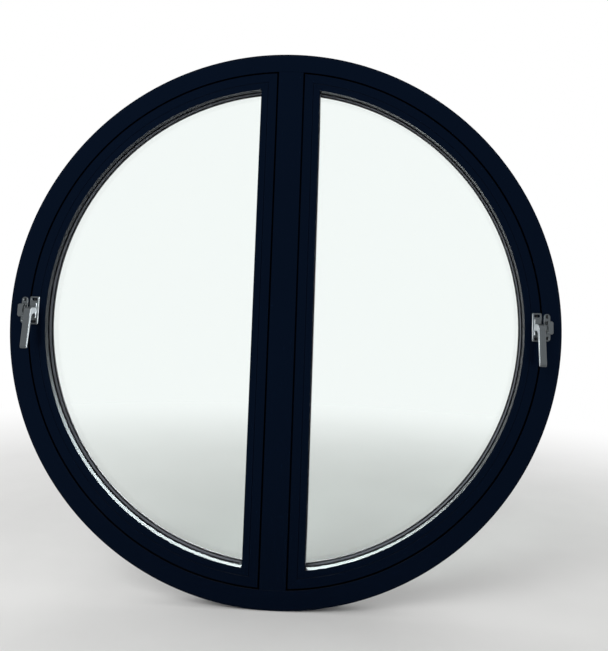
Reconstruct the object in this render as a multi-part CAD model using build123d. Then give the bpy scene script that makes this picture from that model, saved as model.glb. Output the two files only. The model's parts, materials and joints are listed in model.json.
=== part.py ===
"""Round window: a bent ring frame with a fixed central mullion and two half-moon sashes that open outwards.

Millimetres. X runs across the window, Z up, and Y from the room (negative) to the weather (positive).
The origin is the centre of the ring, half way through the depth of the frame.
The right-hand sash, hinges, handle and keeper are drawn, and the left-hand ones are their mirror images.
"""
import os
from math import sqrt

from build123d import *

# Driving sizes of the outer frame and the mullion
frame_radius = 650.0
frame_depth = 55.0
frame_width = 45.0
lip_width = 12.0
shoulder_width = 5.0
shoulder_depth = 3.0
mullion_lip_half = 30.0
wall = 2.0

# Driving sizes of the sashes
joint_gap = 4.0
sash_face_width = 21.0
bead_width = 16.4
flange_overlap = 6.0
flange_thickness = 2.5
flange_standoff = 4.0
leg_depth = 5.0
leg_bevel = 5.5

# Glazing, counted from the room face inwards
bead_depth = 19.0
gasket_depth = 3.0
pane_thickness = 5.0
spacer_depth = 12.0
pane_cover = 12.4
gasket_width = 7.4
gasket_lip = 1.8
spacer_height = 6.5
spacer_stile_step = 3.0
bead_fit = 0.3
bead_groove = 0.7

# Hinges
hinge_axis_inset = 1.5
hinge_axis_rise = 6.0
hinge_end_distance = 300.0
hinge_height = 70.0
knuckle_radius = 5.0
hinge_pin_radius = 2.5
hinge_plate = 2.5
hinge_leaf_width = 26.0
hinge_pin_proud = 1.2
hinge_gap = 0.6

# Handle and keeper
handle_inset = 10.0
handle_z = 4.5
base_height = 66.0
base_width = 21.6
base_thickness = 5.0
base_bevel = 1.5
boss_width = 15.0
boss_height = 38.0
boss_rise = 5.0
base_screw_pitch = 52.4
slot_length = 14.6
slot_width = 6.5
rivet_radius = 4.0
rivet_rise = 16.0
lever_width = 15.0
lever_length = 87.0
lever_head_rise = 8.0
head_front = 32.0
end_front = 40.0
head_thickness = 10.5
end_thickness = 8.0
head_bend = 13.0
throat_bend = 11.0
lever_bevel = 1.4
end_bevel_height = 5.5
end_bevel_depth = 2.5
nose_length = 27.0
nose_width = 12.0
nose_thickness = 5.5
nose_bevel = 3.0
keeper_inset = 9.5
keeper_width = 14.0
keeper_height = 63.0
keeper_thickness = 3.0
keeper_screw_pitch = 50.0
keeper_hole_width = 6.5
keeper_hole_height = 8.4
catch_width = 12.5
catch_height = 30.0
catch_offset = 2.0
catch_wall = 3.0

# Named fits
running_fit = 0.05
lay_fit = 0.3
slide_fit = 0.5

# Drain slots
drain_length = 24.0
drain_width = 5.0
drain_offset = 110.0

# Sizes that follow from the ones above
room_face = -frame_depth / 2
weather_face = frame_depth / 2
frame_lip_radius = frame_radius - frame_width
rebate_radius = frame_lip_radius + lip_width
mullion_box_half = mullion_lip_half - lip_width
sash_radius = frame_lip_radius - joint_gap
sash_stile_x = mullion_lip_half + joint_gap
sash_width = sash_face_width + bead_width
flange_reach = rebate_radius + flange_overlap - sash_radius
flange_room = weather_face + flange_standoff
sash_weather = flange_room + flange_thickness
bead_back = room_face + bead_depth
pane_face = bead_back + gasket_depth
pane_back = pane_face + pane_thickness
outer_pane_face = pane_back + spacer_depth
outer_pane_back = outer_pane_face + pane_thickness
leg_face = outer_pane_back + gasket_depth
glass_radius = sash_radius - sash_width
glass_x = sash_stile_x + sash_width
flange_edge_x = sash_stile_x - flange_reach
hinge_axis_x = flange_edge_x + hinge_axis_inset
hinge_axis_y = sash_weather + hinge_axis_rise
hinge_heights = (frame_radius - hinge_end_distance, hinge_end_distance - frame_radius)
handle_x = sash_radius - handle_inset
keeper_x = frame_lip_radius + keeper_inset
base_face = room_face - base_thickness
boss_face = base_face - boss_rise
nose_back = boss_face - slide_fit
nose_front = nose_back - nose_thickness
far = frame_radius + 50.0


def section(points, holes=()):
    """A flat face from corner points (across, y), less the hollows inside it."""
    face = make_face(Polyline(*points, close=True))
    for hole in holes:
        face -= make_face(Polyline(*hole, close=True))
    return face


def bent(face):
    """A section bent into a full ring about the window's centre."""
    return revolve(face, Axis.Y, 360)


def box(x0, x1, y0, y1, z0, z1):
    """A plain block between two corners."""
    size = Box(x1 - x0, y1 - y0, z1 - z0)
    return Pos((x0 + x1) / 2, (y0 + y1) / 2, (z0 + z1) / 2) * size


def rod(x, z, radius, y0, y1):
    """A round bar along Y."""
    bar = Rot(90, 0, 0) * Cylinder(radius, y1 - y0)
    return Pos(x, (y0 + y1) / 2, z) * bar


def post(x, y, radius, z0, z1):
    """A round bar along Z."""
    return Pos(x, y, (z0 + z1) / 2) * Cylinder(radius, z1 - z0)


def slab(face, y0, y1):
    """A shape drawn in the plane of the window, thickened from y0 to y1."""
    return extrude(Pos(0, y1, 0) * (Plane.XZ * face), amount=y1 - y0)


def half_moon(radius, chord):
    """The area inside a circle and to the right of an upright chord."""
    top = sqrt(radius**2 - chord**2)
    arc = ThreePointArc((chord, top), (radius, 0), (chord, -top))
    return make_face([arc, Line((chord, -top), (chord, top))])


def half_moon_ring(radius, chord, inner_radius, inner_chord):
    """The band between two half moons."""
    return half_moon(radius, chord) - half_moon(inner_radius, inner_chord)


def stile_zone():
    """The block that holds everything on the stile's side of the two mitre cuts."""
    top = sqrt(sash_radius**2 - sash_stile_x**2)
    inner = sqrt(glass_radius**2 - glass_x**2)
    across, down = glass_x - sash_stile_x, inner - top
    outer_point = (sash_stile_x - 0.8 * across, top - 0.8 * down)
    inner_point = (sash_stile_x + 1.4 * across, top + 1.4 * down)
    outline = [outer_point, inner_point, (inner_point[0], -inner_point[1]), (outer_point[0], -outer_point[1])]
    return slab(make_face(Polyline(*outline, close=True)), -far, far)


def arc_piece(points, holes=()):
    """The bent part of a sash profile, drawn from the sash's outer edge inwards and mitred at both ends."""
    turned = [(sash_radius - s, y) for s, y in points]
    hollows = [[(sash_radius - s, y) for s, y in hole] for hole in holes]
    right_half = box(sash_stile_x - flange_reach, far, -far, far, -far, far)
    return (bent(section(turned, hollows)) & right_half) - stile_zone()


def stile_piece(points, holes=()):
    """The straight part of the same profile, along the mullion, mitred at both ends."""
    moved = [(sash_stile_x + s, y) for s, y in points]
    hollows = [[(sash_stile_x + s, y) for s, y in hole] for hole in holes]
    bar = extrude(Pos(0, 0, -far) * section(moved, hollows), amount=2 * far)
    return bar & stile_zone()


def sash_outline():
    """Corner points of the sash profile: its box, the glazing leg and the weather flange."""
    return [
        (0, room_face),
        (sash_face_width - bead_groove, room_face),
        (sash_face_width, room_face + bead_groove),
        (sash_face_width, leg_face),
        (sash_width, leg_face),
        (sash_width, leg_face + leg_depth),
        (sash_width - leg_bevel, sash_weather),
        (-flange_reach, sash_weather),
        (-flange_reach, flange_room),
        (0, flange_room),
    ]


def sash_hollows():
    """The two chambers of the sash profile."""
    room_chamber = [
        (wall, room_face + wall),
        (sash_face_width - wall, room_face + wall),
        (sash_face_width - wall, leg_face),
        (wall, leg_face),
    ]
    leg_chamber = [
        (wall, leg_face + wall),
        (sash_width - wall, leg_face + wall),
        (sash_width - leg_bevel - wall, sash_weather - wall),
        (wall, sash_weather - wall),
    ]
    return [room_chamber, leg_chamber]


def bead_outline():
    """Corner points of the glazing bead."""
    left = sash_face_width + bead_fit
    return [
        (left, room_face + bead_groove),
        (left + bead_groove, room_face),
        (sash_width, room_face),
        (sash_width, bead_back),
        (left, bead_back),
    ]


def bead_hollow():
    """The chamber of the glazing bead."""
    left = sash_face_width + bead_fit + wall
    return [
        (left, room_face + wall),
        (sash_width - wall, room_face + wall),
        (sash_width - wall, bead_back - wall),
        (left, bead_back - wall),
    ]


def handle_screw_places():
    """Where the two screws of a handle base stand."""
    return [(handle_x, handle_z + side * base_screw_pitch / 2) for side in (1, -1)]


def keeper_screw_places():
    """Where the two screws of a keeper stand."""
    return [(keeper_x, handle_z + side * keeper_screw_pitch / 2) for side in (1, -1)]


def drain_slots():
    """Slots at the bottom that let water out of the rebate and out through the weather face."""
    slots = []
    half = drain_length / 2
    for x in (-drain_offset, drain_offset):
        low = -sqrt(rebate_radius**2 - x**2)
        middle = low - (frame_radius - rebate_radius) / 2
        slots.append(box(x - half, x + half, 0, drain_width, low - 4 * wall, low + 2 * wall))
        slots.append(box(x - half, x + half, weather_face - 2 * wall, far, middle, middle + drain_width))
    return slots


def outer_frame():
    """The bent ring: a hollow box with a lip on the room side and a small shoulder at its outer edge."""
    outline = [
        (frame_lip_radius, room_face),
        (frame_radius - shoulder_width, room_face),
        (frame_radius - shoulder_width, room_face + shoulder_depth),
        (frame_radius, room_face + shoulder_depth),
        (frame_radius, weather_face),
        (rebate_radius, weather_face),
        (rebate_radius, room_face + wall),
        (frame_lip_radius, room_face + wall),
    ]
    hollow = [
        (rebate_radius + wall, room_face + wall),
        (frame_radius - shoulder_width - wall, room_face + wall),
        (frame_radius - wall, room_face + wall + shoulder_depth),
        (frame_radius - wall, weather_face - wall),
        (rebate_radius + wall, weather_face - wall),
    ]
    ring = bent(section(outline, [hollow]))
    for slot in drain_slots():
        ring -= slot
    return ring


def mullion():
    """The fixed upright: a hollow box with a lip along each side, cut to sit inside the ring."""
    outline = [
        (-mullion_lip_half, room_face),
        (mullion_lip_half, room_face),
        (mullion_lip_half, room_face + wall),
        (mullion_box_half, room_face + wall),
        (mullion_box_half, weather_face),
        (-mullion_box_half, weather_face),
        (-mullion_box_half, room_face + wall),
        (-mullion_lip_half, room_face + wall),
    ]
    inside = mullion_box_half - wall
    chambers = []
    for low, high in ((room_face + wall, -wall / 2), (wall / 2, weather_face - wall)):
        chambers.append([(-inside, low), (inside, low), (inside, high), (-inside, high)])
    bar = extrude(Pos(0, 0, -far) * section(outline, chambers), amount=2 * far)
    lip_end, box_end = frame_lip_radius - lay_fit, rebate_radius - lay_fit
    opening = [
        (0, room_face),
        (lip_end, room_face),
        (lip_end, room_face + wall + lay_fit),
        (box_end, room_face + wall + lay_fit),
        (box_end, weather_face),
        (0, weather_face),
    ]
    return bar & bent(section(opening))


def frame_seal():
    """The rubber seal that the weather flange closes on, round the ring and down the mullion."""
    inner, chord = rebate_radius + 1, mullion_box_half - 1
    band = half_moon_ring(inner + 4, chord - 4, inner, chord)
    return slab(band, weather_face, flange_room - lay_fit)


def sash_arc():
    """The bent profile of a sash."""
    return arc_piece(sash_outline(), sash_hollows())


def sash_stile():
    """The straight profile of a sash, beside the mullion."""
    return stile_piece(sash_outline(), sash_hollows())


def corner_cleat():
    """The block inside a mitred corner that joins the bent profile to the straight one."""
    near, off = wall + slide_fit, sash_face_width - wall - slide_fit
    low, high = room_face + wall + slide_fit, leg_face - slide_fit
    block = [(near, low), (off, low), (off, high), (near, high)]
    corner = box(sash_stile_x, sash_stile_x + 70, -far, far, sash_radius - 75, sash_radius)
    return (arc_piece(block) & corner) + (stile_piece(block) & corner)


def bead_arc():
    """The bent glazing bead."""
    return arc_piece(bead_outline(), [bead_hollow()])


def bead_stile():
    """The straight glazing bead."""
    return stile_piece(bead_outline(), [bead_hollow()])


def pane(y0):
    """One sheet of glass."""
    cover = half_moon(glass_radius + pane_cover, glass_x - pane_cover)
    return slab(cover, y0, y0 + pane_thickness)


def spacer():
    """The grey bar that holds the two panes apart."""
    radius, chord = glass_radius + 0.4, glass_x + spacer_stile_step
    band = half_moon_ring(radius + spacer_height, chord - spacer_height, radius, chord)
    return slab(band, pane_back, outer_pane_face)


def edge_seal():
    """The sealant between the panes, outside the spacer."""
    radius, chord = glass_radius + 0.4 + spacer_height, glass_x + spacer_stile_step - spacer_height
    rim, rim_chord = glass_radius + pane_cover - lay_fit, glass_x - pane_cover + lay_fit
    band = half_moon_ring(rim, rim_chord, radius + lay_fit, chord - lay_fit)
    return slab(band, pane_back, outer_pane_face)


def gasket(y0, lip):
    """A glazing gasket whose lip stands a little proud of the profile."""
    band = half_moon_ring(
        glass_radius + gasket_width, glass_x - gasket_width, glass_radius - lip, glass_x + lip
    )
    return slab(band, y0, y0 + gasket_depth)


def hinge_frame_leaf(z):
    """The block on the mullion, with the middle knuckle."""
    half, knuckle = hinge_height / 2, hinge_height / 6
    near, edge, foot_top = hinge_gap, flange_edge_x - slide_fit, flange_room + hinge_plate
    foot = box(near, edge, weather_face, foot_top, z - half, z + half)
    web = [
        (near + 1, foot_top),
        (edge, foot_top),
        (hinge_axis_x - 0.8, hinge_axis_y - 0.8 * knuckle_radius),
        (hinge_axis_x, hinge_axis_y),
        (hinge_axis_x - 0.8 * knuckle_radius, hinge_axis_y + knuckle_radius / 2),
    ]
    arm = extrude(Pos(0, 0, z - knuckle) * section(web), amount=2 * knuckle)
    leaf = foot + arm + post(hinge_axis_x, hinge_axis_y, knuckle_radius, z - knuckle, z + knuckle)
    return leaf - post(hinge_axis_x, hinge_axis_y, hinge_pin_radius + running_fit, z - half, z + half)


def hinge_sash_leaf(z):
    """The plate on the sash's flange, with the upper and lower knuckles."""
    half, knuckle = hinge_height / 2, hinge_height / 6 + hinge_gap
    back, front = sash_weather, sash_weather + hinge_plate
    inner = hinge_axis_x + knuckle_radius + 1.0
    leaf = box(hinge_axis_x + 1, inner + hinge_leaf_width, back, front, z - half, z + half)
    leaf -= box(0, inner, back - 1, front + 1, z - knuckle, z + knuckle)
    for low, high in ((z + knuckle, z + half), (z - half, z - knuckle)):
        leaf += post(hinge_axis_x, hinge_axis_y, knuckle_radius, low, high)
    return leaf - post(hinge_axis_x, hinge_axis_y, hinge_pin_radius + running_fit, z - half, z + half)


def hinge_pin(z):
    """The pin of a hinge, which stands a little proud of the knuckles at both ends."""
    half = hinge_height / 2 + hinge_pin_proud
    return post(hinge_axis_x, hinge_axis_y, hinge_pin_radius, z - half, z + half)


def upright_slot(x, z, width, height, y0, y1):
    """A round-ended bar with its long side upright."""
    shape = Pos(x, z) * Rot(0, 0, 90) * SlotOverall(height, width)
    return slab(shape, y0, y1)


def handle_base():
    """The plate screwed to the sash: two slots across it, and a raised boss that the lever turns on."""
    place = Pos(handle_x, handle_z)
    plate = slab(place * RectangleRounded(base_width, base_height, 3.5), base_face, room_face)
    plate = chamfer(plate.faces().sort_by(Axis.Y)[0].outer_wire().edges(), base_bevel)
    boss = slab(place * RectangleRounded(boss_width, boss_height, 2), boss_face, base_face)
    boss = chamfer(boss.faces().sort_by(Axis.Y)[0].outer_wire().edges(), base_bevel / 2)
    plate += boss
    for x, z in handle_screw_places():
        slot = Pos(x, z) * SlotOverall(slot_length, slot_width)
        plate -= slab(slot, base_face - 1, room_face + 1)
    return plate - rod(handle_x, handle_z, rivet_radius + running_fit, boss_face - 1, room_face + 1)


def handle_rivet():
    """The pin that the lever turns on, riveted flush with the back of the base."""
    return rod(handle_x, handle_z, rivet_radius, base_face - rivet_rise, room_face - lay_fit)


def lever_side():
    """The lever seen from the side, as a face across Y and Z: a neck, a bend, and a tapering bar."""
    top = handle_z + lever_head_rise
    low = handle_z - lever_head_rise
    end = handle_z - lever_length
    front, tip = base_face - head_front, base_face - end_front
    throat = (front + head_thickness, low)
    outline = Polyline(
        (nose_back, low),
        (nose_back, top),
        (front, top),
        (tip, end + end_bevel_height),
        (tip + end_bevel_depth, end),
        (tip + end_thickness, end),
        throat,
        close=True,
    )
    face = make_face(outline)
    face = fillet(face.vertices().sort_by_distance((front, top, 0))[0], head_bend)
    return fillet(face.vertices().sort_by_distance((*throat, 0))[0], throat_bend)


def lever():
    """The cast handle: a square neck, a bar that turns down from it, and the nose that locks."""
    bar = extrude(Pos(handle_x - lever_width / 2, 0, 0) * (Plane.YZ * lever_side()), amount=lever_width)
    sides = bar.faces().sort_by(Axis.X)
    outlines = sides[0].edges() + sides[-1].edges()
    bar = chamfer([e for e in outlines if e.center().Y < nose_back - 0.1], lever_bevel)
    nose = Pos(handle_x + nose_length / 2, handle_z) * Rectangle(nose_length, nose_width)
    arm = slab(nose, nose_front, nose_back)
    arm = chamfer(arm.edges().filter_by(Axis.Y).sort_by(Axis.X)[-2:], nose_bevel)
    bore_end = base_face - rivet_rise - slide_fit
    return bar + arm - rod(handle_x, handle_z, rivet_radius + running_fit, bore_end, nose_back + 1)


def keeper():
    """The casting on the frame: a plate with two lugs, and a catch open towards the handle and below."""
    plate_top = room_face - keeper_thickness
    plate = upright_slot(keeper_x, handle_z, keeper_width, keeper_height, plate_top, room_face)
    roof = nose_front - slide_fit - catch_wall
    low, high = handle_z - catch_height / 2, handle_z + catch_height / 2
    middle = keeper_x + catch_offset
    left, right = middle - catch_width / 2, middle + catch_width / 2
    shell = box(left, right, roof, plate_top, low, high)
    upright = shell.edges().filter_by(Axis.Y).sort_by(Axis.X)
    shell = chamfer(upright[-2:], catch_wall)
    shell = chamfer(shell.faces().sort_by(Axis.Y)[0].edges(), catch_wall / 3)
    mouth = box(left - 5, right - catch_wall, roof + catch_wall, plate_top, low - 5, high - catch_wall)
    wedge_top = nose_back + slide_fit
    ramp = [(low, plate_top), (high, plate_top), (high, wedge_top), (low + 9, wedge_top)]
    wedge = extrude(
        Pos(left + 1.5, 0, 0) * (Plane.YZ * make_face(Polyline(*[(y, z) for z, y in ramp], close=True))),
        amount=right - left - 3,
    )
    whole = plate + (shell - mouth) + wedge
    for x, z in keeper_screw_places():
        whole -= upright_slot(x, z, keeper_hole_width, keeper_hole_height, plate_top - 1, room_face + 1)
    return whole


def right_hand_pieces():
    """Every piece that has a mirror image on the other side, by name."""
    pieces = {
        "frame_seal": frame_seal(),
        "keeper": keeper(),
        "sash_arc": sash_arc(),
        "sash_stile": sash_stile(),
        "bead_arc": bead_arc(),
        "bead_stile": bead_stile(),
        "pane_room": pane(pane_face),
        "pane_weather": pane(outer_pane_face),
        "spacer": spacer(),
        "edge_seal": edge_seal(),
        "gasket_room": gasket(bead_back, gasket_lip),
        "gasket_weather": gasket(outer_pane_back, gasket_lip / 2),
        "handle_base": handle_base(),
        "handle_rivet": handle_rivet(),
        "handle_lever": lever(),
    }
    cleat = corner_cleat()
    pieces["cleat_top"] = cleat
    pieces["cleat_bottom"] = mirror(cleat, about=Plane.XY)
    for name, z in zip(("upper", "lower"), hinge_heights):
        pieces[f"hinge_frame_leaf_{name}"] = hinge_frame_leaf(z)
        pieces[f"hinge_sash_leaf_{name}"] = hinge_sash_leaf(z)
        pieces[f"hinge_pin_{name}"] = hinge_pin(z)
    return pieces


def main():
    """Builds every piece and writes each to its own file."""
    os.makedirs("parts", exist_ok=True)
    export_step(outer_frame(), "parts/outer_frame.step")
    export_step(mullion(), "parts/mullion.step")
    for name, shape in right_hand_pieces().items():
        export_step(shape, f"parts/right_{name}.step")
        export_step(mirror(shape, about=Plane.YZ), f"parts/left_{name}.step")


main()
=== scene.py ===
"""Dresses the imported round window: soft arrises, swept seals, castings, screws, glass and a studio."""
import json
from math import acos, cos, pi, radians, sin, sqrt

import bmesh
import bpy
from bpy.props import FloatProperty, FloatVectorProperty, IntProperty, PointerProperty
from mathutils import Matrix, Vector

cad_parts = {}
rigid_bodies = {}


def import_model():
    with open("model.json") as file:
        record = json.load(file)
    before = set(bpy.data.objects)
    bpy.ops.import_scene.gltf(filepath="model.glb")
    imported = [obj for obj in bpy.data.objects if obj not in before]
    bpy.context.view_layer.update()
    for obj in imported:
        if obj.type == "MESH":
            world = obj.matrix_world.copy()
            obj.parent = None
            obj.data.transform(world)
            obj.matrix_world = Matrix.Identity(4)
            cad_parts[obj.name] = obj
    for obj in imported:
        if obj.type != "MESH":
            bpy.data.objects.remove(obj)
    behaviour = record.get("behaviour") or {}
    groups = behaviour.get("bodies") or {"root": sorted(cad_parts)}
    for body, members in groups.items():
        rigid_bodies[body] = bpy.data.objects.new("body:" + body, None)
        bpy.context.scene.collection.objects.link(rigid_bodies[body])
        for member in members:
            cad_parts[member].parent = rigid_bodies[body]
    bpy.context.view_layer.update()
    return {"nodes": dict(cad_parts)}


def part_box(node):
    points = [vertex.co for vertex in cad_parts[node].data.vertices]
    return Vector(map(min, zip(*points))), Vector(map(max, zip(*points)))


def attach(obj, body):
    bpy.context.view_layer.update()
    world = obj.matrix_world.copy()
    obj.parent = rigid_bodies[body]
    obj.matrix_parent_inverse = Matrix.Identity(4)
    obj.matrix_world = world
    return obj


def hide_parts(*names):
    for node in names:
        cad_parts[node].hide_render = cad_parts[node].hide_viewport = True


bl_info = {
    "name": "Round window",
    "version": (1, 0, 0),
    "blender": (4, 5, 0),
    "location": "View3D > Sidebar > Round window",
    "description": "Profiles, seals, glazing, hinges and handles of a round window with two half-moon sashes",
    "category": "Object",
}

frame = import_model()

SIDES = {"left": -1.0, "right": 1.0}
HEIGHTS = ("upper", "lower")
WELD = 1e-6
FLAT_ANGLE = radians(0.4)
ARRIS_ANGLE = radians(22)
CREASE_ANGLE = radians(50)
STILE_STEPS = 12
BEVEL_STEPS = 2
SCREW_SEED = 7
SCREW_SIDES = 28
# Shares of a screw head's height: its drum, and the middle of the recess cutter.
DRUM_SHARE, RECESS_SHARE = 0.45, 0.95
# The head's dome in steps: how far each rises, as a share of the head, and how far its top draws in.
DOME_STEPS = ((0.25, 0.90), (0.18, 0.80), (0.12, 0.60))
FLOOR_SIDES = 128
FLOOR_GAP = 0.0005
SENSOR_WIDTH = 36.0

RING_LOW, RING_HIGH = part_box("outer_frame")
ROOM_FACE, WEATHER_FACE = RING_LOW.y, RING_HIGH.y
RING_RADIUS = RING_HIGH.x
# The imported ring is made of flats, so on some sides it reaches a hair less far than its radius.
RING_REACH = min(RING_HIGH.x, -RING_LOW.x, RING_HIGH.z, -RING_LOW.z)


def length(name, text, value):
    """A size in metres that a user may change."""
    return FloatProperty(name=name, description=text, default=value, min=0, precision=5, unit="LENGTH")


def count(name, text, value, least):
    """A whole number, such as the steps of a curve."""
    return IntProperty(name=name, description=text, default=value, min=least)


def share(name, text, value):
    """A plain number from 0 to 1."""
    return FloatProperty(name=name, description=text, default=value, min=0, max=1, subtype="FACTOR")


def angle(name, text, degrees):
    """A turn, kept in radians and shown in degrees."""
    return FloatProperty(name=name, description=text, default=radians(degrees), subtype="ANGLE")


def power(name, text, value):
    """What a lamp gives, in watts."""
    return FloatProperty(name=name, description=text, default=value, min=0, unit="POWER")


def point(name, text, value):
    """A place in the window's own frame."""
    return FloatVectorProperty(name=name, description=text, default=value, size=3, subtype="TRANSLATION")


def colour(name, text, value):
    """A colour, in the scene's linear values."""
    return FloatVectorProperty(
        name=name, description=text, default=value, min=0, max=1, size=3, subtype="COLOR"
    )


class WindowFinishes(bpy.types.PropertyGroup):
    """Colours and gloss of every finish on the window."""

    navy: colour("Frame navy", "Powder coat on the ring, mullion, sashes and beads", (0.0013, 0.0030, 0.0078))
    navy_sheen: colour("Navy sheen", "Tint of the coat's reflection seen straight on", (0.12, 0.30, 0.75))
    navy_gloss: share("Coat gloss", "Strength of the coat's reflection seen straight on", 0.08)
    navy_roughness: share("Coat roughness", "How broad the coat's reflections are", 0.22)
    peel: length("Peel height", "Depth of the coat's fine waviness", 0.000004)
    silver: colour("Fitting silver", "Satin lacquer on handles, keepers and hinges", (0.103, 0.115, 0.122))
    silver_roughness: share("Fitting roughness", "How broad the fittings' reflections are", 0.36)
    rubber: colour("Rubber", "Gaskets and weather seals", (0.0045, 0.0045, 0.0050))
    spacer: colour("Spacer bar", "Dull bar between the panes", (0.25, 0.255, 0.30))
    glass: colour("Glass tint", "Colour of one pane seen straight through", (0.945, 0.972, 0.962))
    glass_gloss: share("Glass gloss", "Strength of the reflections in the panes", 0.2)
    # Screw black is partly an oxide finish and partly painted shade: made this dark so that the screws sunk
    # in the base slots read as black as the shade there.
    screw: colour("Screw black", "Oxide finish of the screws", (0.009, 0.009, 0.010))
    dust: share("Dust", "How much fine dust lies on surfaces that face up", 0.05)


class WindowProfiles(bpy.types.PropertyGroup):
    """Sizes of the arrises, the swept ring and the rubber strips."""

    arris: length("Arris radius", "Rounding on the edges of the aluminium profiles", 0.00045)
    ring_steps: count("Ring steps", "Straight runs round the ring", 288, 24)
    arris_steps: count("Arris steps", "Faces across one rounded edge", 3, 1)
    ring_lip: length("Ring lip", "Width of the ring's face beyond its box", 0.012)
    ring_face: length("Ring face", "Width of the ring's room face with its shoulder", 0.045)
    shoulder: length("Shoulder width", "Step at the outer edge of the room face", 0.005)
    shoulder_depth: length("Shoulder depth", "How far the step lies back", 0.003)
    wall: length("Wall", "Thickness of the profile walls", 0.002)
    drain_offset: length("Drain offset", "Drain slots' distance from the upright centre line", 0.110)
    drain_length: length("Drain length", "Long side of a drain slot", 0.024)
    drain_width: length("Drain width", "Short side of a drain slot", 0.005)
    room_lip: length("Room gasket", "Width of the room gasket with its lip", 0.0092)
    weather_lip: length("Weather gasket", "Width of the weather gasket with its lip", 0.0083)
    lip_round: length("Gasket rounding", "Radius on the edges of a glazing gasket", 0.0012)
    seal_width: length("Seal width", "Width of the weather seal", 0.004)
    seal_round: length("Seal rounding", "Radius on the edges of the weather seal", 0.0017)
    strip_steps: count("Strip steps", "Straight runs along a bent strip", 160, 12)


class WindowGlazing(bpy.types.PropertyGroup):
    """Sizes of the spacer bars and of the thin dark inlays along them, painted shade that stands for breather
    holes.
    """

    bar_height: length("Bar height", "Height of the spacer bar across the glass edge", 0.0065)
    bar_round: length("Bar rounding", "Radius on the edges of the spacer bar", 0.0006)
    hole_pitch: length("Hole pitch", "Distance from one breather hole to the next", 0.004)
    hole_length: length("Hole length", "Long side of a breather hole", 0.0016)
    hole_width: length("Hole width", "Short side of a breather hole", 0.0005)
    # The inlay's near-black finish is painted shade for the inside of a hole, which is not cut.
    hole_inlay: length("Hole inlay", "Thickness of the dark inlay that shows a hole", 0.00008)
    hole_rows: length("Hole rows", "Distance between the two rows of holes", 0.0036)


class WindowFittings(bpy.types.PropertyGroup):
    """Sizes of the castings' skin, the hinges' edges and the screws."""

    cast_grid: length("Cast grid", "Cell of the skin that rounds the castings", 0.00045)
    cast_passes: count("Cast passes", "How often the cast skin is eased", 5, 0)
    hinge_arris: length("Hinge arris", "Rounding on the edges of the hinges", 0.0004)
    head_radius: length("Head radius", "Radius of a screw's head", 0.0030)
    head_height: length("Head height", "Height of a screw's head", 0.0019)
    recess_length: length("Recess length", "Long side of the cross recess", 0.0034)
    recess_width: length("Recess width", "Short side of the cross recess", 0.0008)
    base_pitch: length("Base pitch", "Distance between the screws of a handle base", 0.0524)
    keeper_pitch: length("Keeper pitch", "Distance between the screws of a keeper", 0.0500)
    keeper_margin: length("Keeper margin", "Keeper screws' distance from the plate's inner edge", 0.007)
    hinge_pitch: length("Hinge pitch", "Distance between the screws of a hinge leaf", 0.0504)
    foot_thickness: length("Hinge foot", "Depth of the hinge foot on the mullion", 0.0065)
    foot_across: length("Foot screws", "Foot screws' distance from the upright centre line", 0.0062)
    leaf_face: length("Leaf face", "Sash leaf's outer face, from the middle of the window's depth", 0.0365)
    leaf_across: length("Leaf screws", "Leaf screws' distance from the upright centre line", 0.0345)


class WindowStudio(bpy.types.PropertyGroup):
    """Floor, lamps and camera."""

    floor_radius: length("Floor radius", "Radius of the round floor", 7.0)
    fade_start: length("Fade start", "Where the floor starts to run into the white background", 1.1)
    fade_end: length("Fade end", "Where the floor has run into the white background", 3.2)
    floor_tone: colour("Floor tone", "Colour of the floor", (0.80, 0.80, 0.79))
    ambient: share("Ambient", "Strength of the white surroundings as a lamp", 0.72)
    key_power: power("Key power", "Power of the soft lamp on the room side", 60.0)
    key_place: point("Key place", "Where that lamp hangs", (-1.5, -2.6, 1.9))
    key_size: length("Key size", "Side of that lamp", 1.8)
    back_power: power("Back power", "Power of the lamp outside, mirrored in the edges by the glass", 38.0)
    back_place: point("Back place", "Where that lamp hangs", (0.05, 2.4, 0.42))
    back_width: length("Back width", "Level side of that lamp", 1.0)
    back_height: length("Back height", "Upright side of that lamp", 0.45)
    glow_power: power("Glow power", "Power of the light from the glass on one handle", 8.4)
    glow_place: point("Glow place", "Where the right handle's lamp hangs", (0.27, 0.14, 0.03))
    glow_target: point("Glow target", "Where that lamp looks", (0.60, -0.05, 0.0))
    glow_width: length("Glow width", "Level side of that lamp", 0.30)
    glow_height: length("Glow height", "Upright side of that lamp", 0.50)
    camera_place: point("Camera place", "Where the camera stands", (0.0915, -1.4667, 0.0225))
    lens: FloatProperty(name="Lens", description="Focal length in millimetres", default=33.73, min=1)
    lens_shift: FloatProperty(name="Lens shift", description="Upright shift of the view", default=-0.112)
    pitch: angle("Pitch", "How far the camera looks up", 5.54)
    yaw: angle("Yaw", "How far the camera looks towards +X", -1.82)
    roll: angle("Roll", "How far the camera leans", 1.93)


def settings(name):
    """One of the property groups of the current scene."""
    return getattr(bpy.context.scene, "round_window_" + name)


def put(tree, kind, inputs=None, **options):
    """Adds a node, sets its options, and gives each input a value or a link."""
    node = tree.nodes.new(kind)
    for name, value in options.items():
        setattr(node, name, value)
    for name, value in (inputs or {}).items():
        if isinstance(value, bpy.types.NodeSocket):
            tree.links.new(value, node.inputs[name])
        else:
            node.inputs[name].default_value = value
    return node


def new_tree(name, kind, inputs, outputs):
    """A node group with named sockets: inputs and outputs are (name, kind of value, default) rows."""
    tree = bpy.data.node_groups.new(name, kind)
    for way, rows in (("INPUT", inputs), ("OUTPUT", outputs)):
        for label, value, default in rows:
            made = tree.interface.new_socket(label, in_out=way, socket_type="NodeSocket" + value)
            if default is not None:
                made.default_value = default
    return tree, tree.nodes.new("NodeGroupInput"), tree.nodes.new("NodeGroupOutput")


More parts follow.
